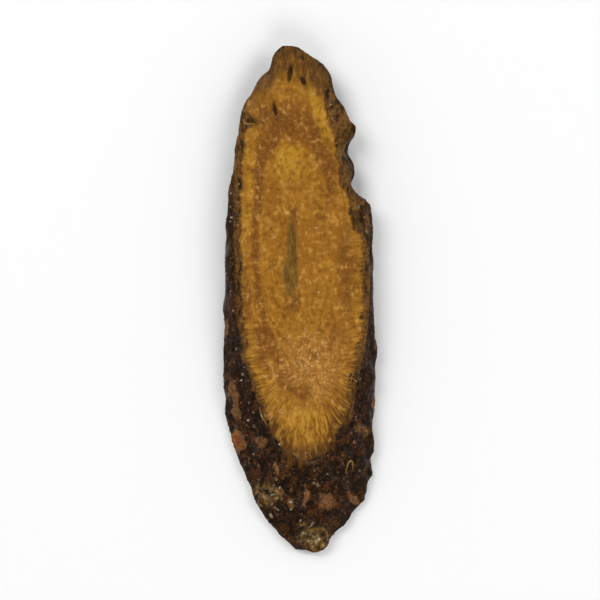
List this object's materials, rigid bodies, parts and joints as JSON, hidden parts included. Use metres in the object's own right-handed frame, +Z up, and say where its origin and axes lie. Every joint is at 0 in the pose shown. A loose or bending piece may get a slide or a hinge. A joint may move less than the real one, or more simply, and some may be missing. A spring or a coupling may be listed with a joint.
{
  "type": "licorice root slice",
  "caption": "Long slanting oval slice of dried root: pale ringed cut faces, a narrow pith slit, blunt lifted tips and crusty dark bark round the edge.",
  "frame": {"origin": "under the middle of the slice's bounding box, on the table it lies on", "axes": "+Z up out of the upper cut face; +Y along the slice towards its overhanging tip; -Y towards the end where the bark shows past the upper face"},
  "size_m": [0.0168, 0.0544, 0.0042],
  "materials": {
    "root": "satin"
  },
  "bodies": {
    "root": {"licorice_slice": "root"}
  },
  "joints": []
}
